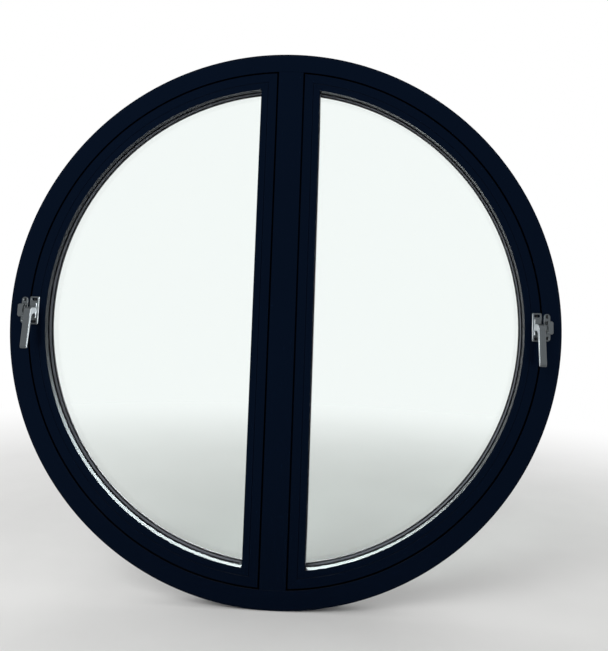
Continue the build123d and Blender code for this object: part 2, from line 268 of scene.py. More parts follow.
def tree_called(name):
    """A node group by name, made when it is first asked for."""
    return bpy.data.node_groups.get(name) or TREES[name](name)


def maths(tree, operation, a, b=0.0, c=0.0):
    """The result of one sum."""
    return put(tree, "ShaderNodeMath", {0: a, 1: b, 2: c}, operation=operation).outputs[0]


def ranged(tree, value, low, high, to_low, to_high, **options):
    """A value carried from one range into another, held at its ends."""
    rows = {"Value": value, "From Min": low, "From Max": high, "To Min": to_low, "To Max": to_high}
    return put(tree, "ShaderNodeMapRange", rows, **options).outputs["Result"]


def noise(tree, place, scale, detail):
    """A noise value read at a place."""
    rows = {"Vector": place, "Scale": scale, "Detail": detail}
    return put(tree, "ShaderNodeTexNoise", rows).outputs["Fac"]


def scaled(tree, colour_in, factor):
    """A colour made darker or lighter by a factor."""
    return put(tree, "ShaderNodeVectorMath", {0: colour_in, "Scale": factor}, operation="SCALE").outputs[0]


def fine_grain_tree(name):
    """Grain shared by the coat, castings and rubber: mottled colour, uneven gloss and a fine bump."""
    tree, start, end = new_tree(
        name,
        "ShaderNodeTree",
        [
            ("Color", "Color", (0.5, 0.5, 0.5, 1)),
            ("Roughness", "Float", 0.4),
            ("Grain Size", "Float", 700.0),
            ("Grain Height", "Float", 0.00003),
            ("Mottle", "Float", 0.08),
            ("Gloss Spread", "Float", 0.08),
        ],
        [("Color", "Color", None), ("Roughness", "Float", None), ("Normal", "Vector", None)],
    )
    s = start.outputs
    place = put(tree, "ShaderNodeTexCoord").outputs["Object"]
    broad = noise(tree, place, 4.5, 4.0)
    fine = noise(tree, place, s["Grain Size"], 3.0)
    finer = noise(tree, place, maths(tree, "MULTIPLY", s["Grain Size"], 4.0), 1.0)
    mottle = maths(tree, "MULTIPLY", maths(tree, "SUBTRACT", broad, 0.5), s["Mottle"])
    tone = scaled(tree, s["Color"], maths(tree, "MULTIPLY_ADD", mottle, 2.0, 1.0))
    spread = maths(tree, "MULTIPLY", maths(tree, "SUBTRACT", fine, 0.5), s["Gloss Spread"])
    height = maths(tree, "MULTIPLY_ADD", finer, 0.35, fine)
    bump = put(tree, "ShaderNodeBump", {"Height": height, "Distance": s["Grain Height"]})
    tree.links.new(tone, end.inputs["Color"])
    tree.links.new(maths(tree, "ADD", s["Roughness"], spread), end.inputs["Roughness"])
    tree.links.new(bump.outputs[0], end.inputs["Normal"])
    return tree


def settled_dust_tree(name):
    """Fine dust that lies on surfaces that face up."""
    tree, start, end = new_tree(
        name,
        "ShaderNodeTree",
        [
            ("Color", "Color", (0.5, 0.5, 0.5, 1)),
            ("Roughness", "Float", 0.4),
            ("Dust Color", "Color", (0.32, 0.31, 0.29, 1)),
            ("Amount", "Float", 0.1),
        ],
        [("Color", "Color", None), ("Roughness", "Float", None)],
    )
    s = start.outputs
    place = put(tree, "ShaderNodeTexCoord").outputs["Object"]
    facing = put(tree, "ShaderNodeSeparateXYZ", {0: put(tree, "ShaderNodeNewGeometry").outputs["Normal"]})
    upward = ranged(tree, facing.outputs["Z"], 0.35, 0.95, 0.0, 1.0)
    patches = ranged(tree, noise(tree, place, 24.0, 2.0), 0.35, 0.75, 0.25, 1.0)
    film = maths(tree, "MULTIPLY", maths(tree, "MULTIPLY", upward, patches), s["Amount"])
    # By number, 6 and 7 are the colours that the node mixes, and output 2 is the mixed one.
    dusted = put(tree, "ShaderNodeMix", {0: film, 6: s["Color"], 7: s["Dust Color"]}, data_type="RGBA")
    tree.links.new(dusted.outputs[2], end.inputs["Color"])
    tree.links.new(maths(tree, "MULTIPLY_ADD", film, 0.2, s["Roughness"]), end.inputs["Roughness"])
    return tree


def new_material(name, constants):
    """A material with constant values on its shader: also gives its tree, its shader and its output."""
    made = bpy.data.materials.new(name)
    made.use_nodes = True
    nodes = made.node_tree.nodes
    shader = next(n for n in nodes if n.type == "BSDF_PRINCIPLED")
    output = next(n for n in nodes if n.type == "OUTPUT_MATERIAL")
    for socket, value in constants.items():
        shader.inputs[socket].default_value = value
    return made, made.node_tree, shader, output


def lay_over(tree, amount, shader, other, output):
    """Sends out one shader with another laid over it."""
    both = put(tree, "ShaderNodeMixShader", {0: amount, 1: shader.outputs[0], 2: other.outputs[0]})
    tree.links.new(both.outputs[0], output.inputs["Surface"])


def grained_finish(name, base, roughness, grain, height, mottle, spread, dust, constants):
    """A finish with the shared grain and, where it has any, the shared dust."""
    made, tree, shader, _ = new_material(name, constants)
    values = {
        "Color": (*base, 1), "Roughness": roughness, "Grain Size": grain, "Grain Height": height,
        "Mottle": mottle, "Gloss Spread": spread,
    }
    texture = put(tree, "ShaderNodeGroup", values, node_tree=tree_called("Fine grain"))
    skin, gloss = texture.outputs["Color"], texture.outputs["Roughness"]
    if dust:
        values = {"Color": skin, "Roughness": gloss, "Amount": dust}
        film = put(tree, "ShaderNodeGroup", values, node_tree=tree_called("Settled dust"))
        skin, gloss = film.outputs["Color"], film.outputs["Roughness"]
    tree.links.new(skin, shader.inputs["Base Color"])
    tree.links.new(gloss, shader.inputs["Roughness"])
    tree.links.new(texture.outputs["Normal"], shader.inputs["Normal"])
    return made


def grained_finishes():
    """What sets each grained finish apart, in the order that grained_finish takes it."""
    s = settings("finishes")
    metal = {"Metallic": 1.0}
    dull = {"Specular IOR Level": 0.1}
    satin = {"Specular IOR Level": 0.3}
    coat = {"Specular IOR Level": s.navy_gloss, "Specular Tint": (*s.navy_sheen, 1)}
    hinge_roughness = s.silver_roughness + 0.06
    steel, bare_metal = (0.42, 0.42, 0.41), (0.55, 0.55, 0.56)
    # The breather-hole colour is painted shade: a near-black that stands for the shade inside holes that are
    # not cut.
    hole_shade, sealant_black = (0.010, 0.010, 0.010), (0.008, 0.008, 0.008)
    return {
        # Finish: colour, roughness, grain size, grain height, mottle, gloss spread, dust, constants.
        "navy_powder_coat": (s.navy, s.navy_roughness, 620.0, s.peel, 0.10, 0.012, s.dust, coat),
        "satin_silver": (s.silver, s.silver_roughness, 1500.0, 0.00002, 0.08, 0.10, s.dust / 2, metal),
        "hinge_coat": (s.silver, hinge_roughness, 1300.0, 0.00002, 0.10, 0.10, s.dust, metal),
        # Oxide black that is partly painted shade, dark enough that the screw slots read black as if in
        # shade.
        "oxide_screw": (s.screw, 0.42, 2400.0, 0.00001, 0.2, 0.2, 0.0, satin),
        "turned_steel": (steel, 0.30, 2600.0, 0.00001, 0.06, 0.16, 0.0, metal),
        "spacer_metal": (s.spacer, 0.66, 1100.0, 0.00001, 0.06, 0.08, 0.0, dull),
        # Painted shade: near-black on thin inlays where the spacer bar's breather holes would lie in shade.
        "breather_hole": (hole_shade, 0.8, 2000.0, 0.00001, 0.1, 0.1, 0.0, dull),
        "cleat_metal": (bare_metal, 0.38, 900.0, 0.00002, 0.08, 0.12, 0.0, metal),
        "black_rubber": (s.rubber, 0.62, 1700.0, 0.00003, 0.16, 0.14, 0.0, dull),
        "edge_sealant": (sealant_black, 0.7, 500.0, 0.0001, 0.2, 0.2, 0.0, dull),
    }


def clear_glass(name):
    """Float glass with a faint tint and a slight waviness, which lets lamps through."""
    s = settings("finishes")
    made, tree, shader, output = new_material(name, {
        "Base Color": (*s.glass, 1), "Roughness": 0.0, "IOR": 1.5, "Specular IOR Level": s.glass_gloss,
        "Transmission Weight": 1.0,
    })
    wave = noise(tree, put(tree, "ShaderNodeTexCoord").outputs["Object"], 3.2, 1.0)
    bump = put(tree, "ShaderNodeBump", {"Height": wave, "Distance": 0.0002})
    tree.links.new(bump.outputs[0], shader.inputs["Normal"])
    through = put(tree, "ShaderNodeBsdfTransparent", {"Color": (*s.glass, 1)})
    shadow = put(tree, "ShaderNodeLightPath").outputs["Is Shadow Ray"]
    lay_over(tree, shadow, shader, through, output)
    return made


def finish(name):
    """A finish by name, made when it is first asked for."""
    found = bpy.data.materials.get(name)
    if found:
        return found
    if name == "clear_glass_pane":
        return clear_glass(name)
    return grained_finish(name, *grained_finishes()[name])


def new_piece(name, data):
    """An object at the origin, linked to the scene."""
    piece = bpy.data.objects.new(name, data)
    bpy.context.scene.collection.objects.link(piece)
    return piece


def make_plain(piece):
    """Turns what the modifiers and node trees make into the piece's own mesh, and removes them."""
    graph = bpy.context.evaluated_depsgraph_get()
    made = bpy.data.meshes.new_from_object(
        piece.evaluated_get(graph), preserve_all_data_layers=True, depsgraph=graph
    )
    if not made.polygons:
        raise RuntimeError(f"{piece.name} came out empty")
    old = piece.data
    piece.modifiers.clear()
    piece.data = made
    bpy.data.meshes.remove(old)


def face_outwards(piece):
    """Turns the faces of a swept or cut mesh outwards, after its doubles are merged."""
    shape = bmesh.new()
    shape.from_mesh(piece.data)
    bmesh.ops.remove_doubles(shape, verts=shape.verts, dist=WELD)
    bmesh.ops.recalc_face_normals(shape, faces=shape.faces)
    shape.to_mesh(piece.data)
    shape.free()


def shade_softly(piece):
    """Smooth shading that keeps flat faces flat and true corners sharp."""
    piece.data.polygons.foreach_set("use_smooth", [True] * len(piece.data.polygons))
    piece.data.set_sharp_from_angle(angle=CREASE_ANGLE)
    even = piece.modifiers.new("Even normals", "WEIGHTED_NORMAL")
    even.keep_sharp = True
    make_plain(piece)


def pick_material(piece, name):
    """Leaves a piece with one finish in one slot."""
    piece.data.materials.clear()
    piece.data.materials.append(finish(name))
    piece.data.polygons.foreach_set("material_index", [0] * len(piece.data.polygons))


def clean_up(piece, material):
    """Leaves what a node tree made closed, softly shaded and in one finish."""
    face_outwards(piece)
    shade_softly(piece)
    pick_material(piece, material)


def fit(piece, body, slot, *nodes):
    """Hangs a finished piece on its body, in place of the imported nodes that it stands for."""
    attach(piece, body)
    if nodes:
        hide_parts(*nodes)


def dress(node, material):
    """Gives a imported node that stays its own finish."""
    for slot in frame["nodes"][node].material_slots:
        slot.material = finish(material)


def merged_copy(node):
    """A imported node's triangles as one closed shell."""
    source = frame["nodes"][node].data
    shape = bmesh.new()
    corners = [shape.verts.new(v.co) for v in source.vertices]
    for face in source.polygons:
        shape.faces.new([corners[i] for i in face.vertices])
    bmesh.ops.remove_doubles(shape, verts=shape.verts, dist=WELD)
    return shape


def mesh_of(shape, name):
    """A mesh made of a finished shape."""
    mesh = bpy.data.meshes.new(name)
    shape.to_mesh(mesh)
    shape.free()
    return mesh


def softened(node, name, material, radius):
    """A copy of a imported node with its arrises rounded, as a drawn or coated profile has them."""
    shape = merged_copy(node)
    bmesh.ops.dissolve_limit(shape, angle_limit=FLAT_ANGLE, verts=shape.verts, edges=shape.edges)
    arrises = [e for e in shape.edges if e.is_manifold and e.calc_face_angle() > ARRIS_ANGLE]
    bmesh.ops.bevel(
        shape, geom=arrises, offset=radius, offset_type="OFFSET", segments=BEVEL_STEPS, profile=0.5,
        affect="EDGES", clamp_overlap=True,
    )
    mesh = mesh_of(shape, name)
    mesh.materials.append(finish(material))
    piece = new_piece(name, mesh)
    shade_softly(piece)
    return piece


def casting(node, name, material):
    """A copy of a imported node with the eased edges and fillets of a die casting."""
    s = settings("fittings")
    piece = new_piece(name, mesh_of(merged_copy(node), name))
    skin = piece.modifiers.new("Cast skin", "REMESH")
    skin.mode = "VOXEL"
    skin.voxel_size = s.cast_grid
    skin.use_smooth_shade = True
    ease = piece.modifiers.new("Cast fillets", "SMOOTH")
    ease.factor = 0.5
    ease.iterations = s.cast_passes
    make_plain(piece)
    pick_material(piece, material)
    return piece


def loop_mesh(name, loops):
    """A mesh of closed edge loops, each given as (x, y) points in the plane."""
    points, edges = [], []
    for loop in loops:
        first = len(points)
        points += [(x, y, 0.0) for x, y in loop]
        edges += [(first + i, first + (i + 1) % len(loop)) for i in range(len(loop))]
    mesh = bpy.data.meshes.new(name)
    mesh.from_pydata(points, edges, [])
    return mesh


def half_moon_path(radius, chord, side, steps):
    """Points round a half moon, anticlockwise seen from the room, as (x, z)."""
    reach_angle = acos(chord / radius)
    arc = [
        (radius * cos(a), radius * sin(a))
        for a in (reach_angle * (2 * i / steps - 1) for i in range(steps + 1))
    ]
    path = arc + [(chord, arc[-1][1] * (1 - 2 * i / STILE_STEPS)) for i in range(1, STILE_STEPS)]
    if side < 0:
        path = [(-x, z) for x, z in reversed(path)]
    return path


def path_inside(node, sign, inset):
    """The half-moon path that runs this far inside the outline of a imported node."""
    low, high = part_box(node)
    far, near = max(abs(low.x), abs(high.x)), min(abs(low.x), abs(high.x))
    return half_moon_path(far - inset, near + inset, sign, settings("profiles").strip_steps)


def run_tree(piece, name, material, values):
    """Runs a node tree on a piece with these named inputs, and keeps the result as a plain mesh."""
    tree = tree_called(name)
    modifier = piece.modifiers.new(name, "NODES")
    modifier.node_group = tree
    sockets = {s.name: s.identifier for s in tree.interface.items_tree if s.in_out == "INPUT"}
    for label, value in {**values, "Material": finish(material)}.items():
        modifier[sockets[label]] = value
    make_plain(piece)


def geometry_tree(name, rows):
    """A node tree with its geometry first, these named inputs, and its material last."""
    geometry, material = ("Geometry", "Geometry", None), ("Material", "Material", None)
    return new_tree(name, "GeometryNodeTree", [geometry, *rows, material], [geometry])


def joined(tree, parts):
    """Several pieces of geometry as one."""
    join = put(tree, "GeometryNodeJoinGeometry")
    for part in parts:
        tree.links.new(part, join.inputs[0])
    return join.outputs[0]


def shifted(tree, geometry, offset):
    """Geometry moved by an offset."""
    return put(tree, "GeometryNodeTransform", {"Geometry": geometry, "Translation": offset}).outputs[0]


def upright(tree, geometry):
    """Turns what was drawn flat up into the plane of the window."""
    return put(tree, "GeometryNodeTransform", {"Geometry": geometry, "Rotation": (pi / 2, 0, 0)}).outputs[0]


def rounded(tree, curve, steps, radius):
    """A curve with its corners rounded."""
    rows = {"Curve": curve, "Count": steps, "Radius": radius}
    return put(tree, "GeometryNodeFilletCurve", rows, mode="POLY").outputs[0]


def swept(tree, path, profile):
    """A profile swept along a path."""
    return put(tree, "GeometryNodeCurveToMesh", {"Curve": path, "Profile Curve": profile}).outputs[0]


def cut_away(tree, shape, cutters, **inputs):
    """A shape with the cutters taken out of it."""
    cut = put(tree, "GeometryNodeMeshBoolean", operation="DIFFERENCE", solver="EXACT")
    for name, value in inputs.items():
        cut.inputs[name].default_value = value
    tree.links.new(shape, cut.inputs["Mesh 1"])
    tree.links.new(cutters, cut.inputs["Mesh 2"])
    return cut.outputs[0]


def along_z(tree, value):
    """A vector along Z."""
    return put(tree, "ShaderNodeCombineXYZ", {"Z": value}).outputs[0]


def send_out(tree, geometry, start, end):
    """Realizes what was placed, gives it the material and sends it out."""
    real = put(tree, "GeometryNodeRealizeInstances", {"Geometry": geometry})
    rows = {"Geometry": real.outputs[0], "Material": start.outputs["Material"]}
    tree.links.new(put(tree, "GeometryNodeSetMaterial", rows).outputs[0], end.inputs["Geometry"])
    return tree


def bent_ring_tree(name):
    """Sweeps a profile round a circle, with rounded arrises and two pairs of drain slots."""
    tree, start, end = geometry_tree(name, [
        ("Ring Radius", "Float", 0.605),
        ("Ring Steps", "Int", 288),
        ("Arris Radius", "Float", 0.0005),
        ("Arris Steps", "Int", 3),
        ("Inner Slot Place", "Vector", (0.11, 0, -0.6)),
        ("Inner Slot Size", "Vector", (0.024, 0.005, 0.012)),
        ("Outer Slot Place", "Vector", (0.11, 0.03, -0.62)),
        ("Outer Slot Size", "Vector", (0.024, 0.01, 0.005)),
    ])
    s = start.outputs
    outline = put(tree, "GeometryNodeMeshToCurve", {0: s["Geometry"]}).outputs[0]
    circle = put(
        tree, "GeometryNodeCurvePrimitiveCircle", {"Resolution": s["Ring Steps"], "Radius": s["Ring Radius"]}
    ).outputs[0]
    ring = swept(tree, circle, rounded(tree, outline, s["Arris Steps"], s["Arris Radius"]))
    cutters = []
    for row in ("Inner", "Outer"):
        place = s[row + " Slot Place"]
        block = put(tree, "GeometryNodeMeshCube", {"Size": s[row + " Slot Size"]}).outputs[0]
        other = put(tree, "ShaderNodeVectorMath", {0: place, 1: (-1, 1, 1)}, operation="MULTIPLY").outputs[0]
        cutters += [shifted(tree, block, place), shifted(tree, block, other)]
    return send_out(tree, cut_away(tree, upright(tree, ring), joined(tree, cutters)), start, end)


def swept_strip_tree(name):
    """Sweeps a rounded strip along a flat closed path."""
    tree, start, end = geometry_tree(name, [
        ("Strip Width", "Float", 0.009),
        ("Strip Depth", "Float", 0.003),
        ("Rounding", "Float", 0.001),
        ("Rounding Steps", "Int", 4),
    ])
    s = start.outputs
    path = put(tree, "GeometryNodeMeshToCurve", {0: s["Geometry"]}).outputs[0]
    block = put(
        tree, "GeometryNodeCurvePrimitiveQuadrilateral",
        {"Width": s["Strip Width"], "Height": s["Strip Depth"]},
    ).outputs[0]
    strip = swept(tree, path, rounded(tree, block, s["Rounding Steps"], s["Rounding"]))
    return send_out(tree, upright(tree, strip), start, end)


def breather_tree(name):
    """Lays two rows of small thin blocks along a flat closed path; in their near-black finish they are
    painted shade that stands for holes.
    """
    tree, start, end = geometry_tree(name, [
        ("Pitch", "Float", 0.004),
        ("Hole Size", "Vector", (0.0016, 0.0001, 0.0005)),
        ("Row Distance", "Float", 0.0036),
    ])
    s = start.outputs
    path = put(tree, "GeometryNodeMeshToCurve", {0: s["Geometry"]}).outputs[0]
    resample = {"Curve": path, "Length": s["Pitch"]}
    spots = put(tree, "GeometryNodeResampleCurve", resample, mode="LENGTH").outputs[0]
    tangent = put(tree, "GeometryNodeInputTangent").outputs[0]
    turn = put(tree, "FunctionNodeAlignRotationToVector", {"Vector": tangent}, axis="X", pivot_axis="Z")
    hole = put(tree, "GeometryNodeMeshCube", {"Size": s["Hole Size"]}).outputs[0]
    row = put(
        tree, "GeometryNodeInstanceOnPoints",
        {"Points": spots, "Instance": hole, "Rotation": turn.outputs[0]},
    ).outputs[0]
    offsets = [along_z(tree, maths(tree, "MULTIPLY", s["Row Distance"], half)) for half in (0.5, -0.5)]
    rows = joined(tree, [shifted(tree, row, offset) for offset in offsets])
    return send_out(tree, upright(tree, rows), start, end)


def pan_screw_tree(name):
    """Stands a pan-head screw with a cross recess on every point, facing the way that the point says."""
    tree, start, end = geometry_tree(name, [
        ("Head Radius", "Float", 0.003),
        ("Head Height", "Float", 0.002),
        ("Recess Length", "Float", 0.0034),
        ("Recess Width", "Float", 0.0008),
        ("Seed", "Int", SCREW_SEED),
    ])
    s = start.outputs
    height = s["Head Height"]
    drum_height = maths(tree, "MULTIPLY", height, DRUM_SHARE)
    drum = put(
        tree, "GeometryNodeMeshCylinder",
        {"Vertices": SCREW_SIDES, "Radius": s["Head Radius"], "Depth": drum_height},
    ).outputs[0]
    geometry = shifted(tree, drum, along_z(tree, maths(tree, "MULTIPLY", drum_height, 0.5)))
    normal = put(tree, "ShaderNodeSeparateXYZ", {0: put(tree, "GeometryNodeInputNormal").outputs[0]})
    facing_up = {0: normal.outputs["Z"], 1: 0.9}
    chosen = put(tree, "FunctionNodeCompare", facing_up, operation="GREATER_THAN").outputs[0]
    for rise, scale in DOME_STEPS:
        lift = maths(tree, "MULTIPLY", height, rise)
        up = put(
            tree, "GeometryNodeExtrudeMesh",
            {"Mesh": geometry, "Selection": chosen, "Offset Scale": lift}, mode="FACES",
        )
        geometry = put(
            tree, "GeometryNodeScaleElements",
            {"Geometry": up.outputs["Mesh"], "Selection": up.outputs["Top"], "Scale": scale},
        ).outputs[0]
        chosen = up.outputs["Top"]
    bars = []
    for along, across in (("Recess Length", "Recess Width"), ("Recess Width", "Recess Length")):
        size = put(tree, "ShaderNodeCombineXYZ", {"X": s[along], "Y": s[across], "Z": height}).outputs[0]
        bar = put(tree, "GeometryNodeMeshCube", {"Size": size}).outputs[0]
        bars.append(shifted(tree, bar, along_z(tree, maths(tree, "MULTIPLY", height, RECESS_SHARE))))
    head = cut_away(tree, geometry, joined(tree, bars), **{"Self Intersection": True})
    facing = put(tree, "GeometryNodeInputNamedAttribute", {"Name": "facing"}, data_type="FLOAT_VECTOR")
    upwards = put(tree, "FunctionNodeAlignRotationToVector", {"Vector": facing.outputs[0]}, axis="Z")
    # Input 3 of the random value is its highest, and output 1 its plain number.
    chance = put(tree, "FunctionNodeRandomValue", {3: pi, "Seed": s["Seed"]}, data_type="FLOAT")
    turned = put(
        tree, "FunctionNodeRotateRotation", {0: upwards.outputs[0], 1: along_z(tree, chance.outputs[1])},
        rotation_space="LOCAL",
    )
    placed = put(
        tree, "GeometryNodeInstanceOnPoints",
        {"Points": s["Geometry"], "Instance": head, "Rotation": turned.outputs[0]},
    )
    return send_out(tree, placed.outputs[0], start, end)


TREES = {
    "Fine grain": fine_grain_tree,
    "Settled dust": settled_dust_tree,
    "Bent ring": bent_ring_tree,
    "Swept strip": swept_strip_tree,
    "Breather holes": breather_tree,
    "Pan screws": pan_screw_tree,
}


def push_to(piece, node):
    """Moves what was swept at the middle of the window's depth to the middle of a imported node's."""
    low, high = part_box(node)
    piece.data.transform(Matrix.Translation((0, (low.y + high.y) / 2, 0)))


def swept_strip(node, name, material, sign, width, rounding):
    """A strip or bar round a half moon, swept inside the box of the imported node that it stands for."""
    low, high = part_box(node)
    piece = new_piece(name, loop_mesh(name, [path_inside(node, sign, width / 2)]))
    run_tree(piece, "Swept strip", material, {
        "Strip Width": width,
        "Strip Depth": high.y - low.y,
        "Rounding": rounding,
    })
    push_to(piece, node)
    clean_up(piece, material)
    return piece


class WINDOW_OT_ring_frame(bpy.types.Operator):
    """Sweeps the ring frame's hollow profile round the window and cuts its drain slots"""

    bl_idname = "round_window.ring_frame"
    bl_label = "Ring frame"

    def execute(self, context):
        s = settings("profiles")
        lip = RING_RADIUS - s.ring_face
        box_side = lip + s.ring_lip
        outer, step = RING_REACH, RING_RADIUS - s.shoulder
        room, back, wall = ROOM_FACE, WEATHER_FACE, s.wall
        set_back = room + s.shoulder_depth
        outline = [
            (lip, room), (step, room), (step, set_back), (outer, set_back),
            (outer, back), (box_side, back), (box_side, room + wall), (lip, room + wall),
        ]
        hollow = [
            (box_side + wall, room + wall), (step - wall, room + wall), (outer - wall, set_back + wall),
            (outer - wall, back - wall), (box_side + wall, back - wall),
        ]
        loops = [[(x - lip, y) for x, y in outline], [(x - lip, y) for x, y in reversed(hollow)]]
        ring = new_piece("ring_frame", loop_mesh("ring_frame", loops))
        # The slots' cutters are several walls deep, so that they pass right through.
        low = -sqrt(box_side**2 - s.drain_offset**2)
        middle = low - (outer - box_side) / 2
        run_tree(ring, "Bent ring", "navy_powder_coat", {
            "Ring Radius": lip,
            "Ring Steps": s.ring_steps,
            "Arris Radius": s.arris,
            "Arris Steps": s.arris_steps,
            "Inner Slot Place": (s.drain_offset, s.drain_width / 2, low - wall),
            "Inner Slot Size": (s.drain_length, s.drain_width, 6 * wall),
            "Outer Slot Place": (s.drain_offset, back, middle + s.drain_width / 2),
            "Outer Slot Size": (s.drain_length, 4 * wall, s.drain_width),
        })
        clean_up(ring, "navy_powder_coat")
        fit(ring, "frame", "frame_coating", "outer_frame")
        return {"FINISHED"}


class WINDOW_OT_mullion(bpy.types.Operator):
    """Rounds the arrises of the fixed upright"""

    bl_idname = "round_window.mullion"
    bl_label = "Mullion"

    def execute(self, context):
        bar = softened("mullion", "fixed_mullion", "navy_powder_coat", settings("profiles").arris)
        fit(bar, "frame", "frame_coating", "mullion")
        return {"FINISHED"}


class WINDOW_OT_sashes(bpy.types.Operator):
    """Rounds the arrises of the sash profiles and glazing beads, which leaves a fine line at each mitre"""

    bl_idname = "round_window.sashes"
    bl_label = "Sashes and beads"

    def execute(self, context):
        radius = settings("profiles").arris
        for side in SIDES:
            for part in ("sash_arc", "sash_stile", "bead_arc", "bead_stile"):
                name = f"{side}_{part}"
                piece = softened(name, name + "_profile", "navy_powder_coat", radius)
                fit(piece, f"{side}_sash", "frame_coating", name)
            for end in ("top", "bottom"):
                dress(f"{side}_cleat_{end}", "cleat_metal")
        return {"FINISHED"}


class WINDOW_OT_glazing(bpy.types.Operator):
    """Finishes the panes and sealant, sweeps the spacer bars, and lays thin dark inlays along them, painted
    shade that stands for breather holes
    """

    bl_idname = "round_window.glazing"
    bl_label = "Glazing"

    def execute(self, context):
        s = settings("glazing")
        for side, sign in SIDES.items():
            sash, spacer = f"{side}_sash", f"{side}_spacer"
            dress(f"{side}_pane_room", "clear_glass_pane")
            dress(f"{side}_pane_weather", "clear_glass_pane")
            dress(f"{side}_edge_seal", "edge_sealant")
            bar = swept_strip(spacer, f"{side}_spacer_bar", "spacer_metal", sign, s.bar_height, s.bar_round)
            fit(bar, sash, "spacer_bar", spacer)
            # Breather marks are thin near-black inlays on the bar: painted shade where holes would be, with
            # no opening cut.
            path = path_inside(spacer, sign, s.bar_height)
            holes = new_piece(f"{side}_breather_holes", loop_mesh("breather_path", [path]))
            run_tree(holes, "Breather holes", "breather_hole", {
                "Pitch": s.hole_pitch,
                "Hole Size": (s.hole_length, s.hole_inlay, s.hole_width),
                "Row Distance": s.hole_rows,
            })
            push_to(holes, spacer)
            pick_material(holes, "breather_hole")
            fit(holes, sash, "spacer_bar")
        return {"FINISHED"}


class WINDOW_OT_rubber(bpy.types.Operator):
    """Sweeps the glazing gaskets and the weather seals"""

    bl_idname = "round_window.rubber"
    bl_label = "Gaskets and seals"

    def execute(self, context):
        s = settings("profiles")
        for side, sign in SIDES.items():
            sash = f"{side}_sash"
            rows = (
                (f"{side}_gasket_room", f"{side}_room_gasket", sash, s.room_lip, s.lip_round),
                (f"{side}_gasket_weather", f"{side}_weather_gasket", sash, s.weather_lip, s.lip_round),
                (f"{side}_frame_seal", f"{side}_weather_seal", "frame", s.seal_width, s.seal_round),
            )
            for node, name, body, width, rounding in rows:
                strip = swept_strip(node, name, "black_rubber", sign, width, rounding)
                fit(strip, body, "seal_rubber", node)
        return {"FINISHED"}


class WINDOW_OT_hinges(bpy.types.Operator):
    """Rounds the edges of the hinge leaves and pins"""

    bl_idname = "round_window.hinges"
    bl_label = "Hinges"

    def execute(self, context):
        radius = settings("fittings").hinge_arris
        for side in SIDES:
            for height in HEIGHTS:
                rows = (
                    (f"{side}_hinge_frame_leaf_{height}", "frame", "hinge_coat", "hinge_coating"),
                    (f"{side}_hinge_sash_leaf_{height}", f"{side}_sash", "hinge_coat", "hinge_coating"),
                    (f"{side}_hinge_pin_{height}", "frame", "turned_steel", "pin_steel"),
                )
                for node, body, material, slot in rows:
                    fit(softened(node, node + "_piece", material, radius), body, slot, node)
        return {"FINISHED"}


class WINDOW_OT_handles(bpy.types.Operator):
    """Makes the levers, bases and keepers as die castings"""

    bl_idname = "round_window.handles"
    bl_label = "Handles and keepers"

    def execute(self, context):
        for side in SIDES:
            rows = (
                (f"{side}_handle_lever", f"{side}_lever_casting", f"{side}_handle"),
                (f"{side}_handle_base", f"{side}_base_casting", f"{side}_sash"),
                (f"{side}_keeper", f"{side}_keeper_casting", "frame"),
            )
            for node, name, body in rows:
                fit(casting(node, name, "satin_silver"), body, "handle_satin", node)
            dress(f"{side}_handle_rivet", "turned_steel")
        return {"FINISHED"}


class WINDOW_OT_screws(bpy.types.Operator):
    """Sets the screws of the handles, keepers and hinges"""

    bl_idname = "round_window.screws"
    bl_label = "Screws"

    def seats(self, node, pitch, height, facing, across=None):
        """The two seats of a plate, half a pitch above and below its middle."""
        low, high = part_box(node)
        middle = (low + high) / 2
        x = middle.x if across is None else across
        return [((x, height, middle.z + k * pitch / 2), (0, facing, 0)) for k in (1, -1)]

    def execute(self, context):
        s = settings("fittings")
        rows = {"frame": [], "left_sash": [], "right_sash": []}
        for side, sign in SIDES.items():
            keeper, on_frame, on_sash = f"{side}_keeper", rows["frame"], rows[f"{side}_sash"]
            on_sash += self.seats(f"{side}_handle_base", s.base_pitch, ROOM_FACE, -1)
            low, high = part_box(keeper)
            plate_x = sign * (min(abs(low.x), abs(high.x)) + s.keeper_margin)
            on_frame += self.seats(keeper, s.keeper_pitch, ROOM_FACE, -1, across=plate_x)
            for height in HEIGHTS:
                leaf, foot = f"{side}_hinge_frame_leaf_{height}", WEATHER_FACE + s.foot_thickness
                on_frame += self.seats(leaf, s.hinge_pitch, foot, 1, across=sign * s.foot_across)
                leaf = f"{side}_hinge_sash_leaf_{height}"
                on_sash += self.seats(leaf, s.hinge_pitch, s.leaf_face, 1, across=sign * s.leaf_across)
        for number, (body, seats) in enumerate(rows.items()):
            mesh = bpy.data.meshes.new(f"{body}_screws")
            mesh.from_pydata([place for place, _ in seats], [], [])
            facing = mesh.attributes.new("facing", "FLOAT_VECTOR", "POINT")
            facing.data.foreach_set("vector", [c for _, way in seats for c in way])
            screws = new_piece(f"{body}_screws", mesh)
            run_tree(screws, "Pan screws", "oxide_screw", {
                "Head Radius": s.head_radius,
                "Head Height": s.head_height,
                "Recess Length": s.recess_length,
                "Recess Width": s.recess_width,
                "Seed": SCREW_SEED + number,
            })
            clean_up(screws, "oxide_screw")
            fit(screws, body, "pin_steel")
        return {"FINISHED"}


def seen_plainly(tree):
    """1 for what the camera, mirrors and glass see, and 0 for what gives light."""
    path = put(tree, "ShaderNodeLightPath").outputs
    seen = maths(tree, "MAXIMUM", path["Is Camera Ray"], path["Is Glossy Ray"])
    return maths(tree, "MAXIMUM", seen, path["Is Transmission Ray"])


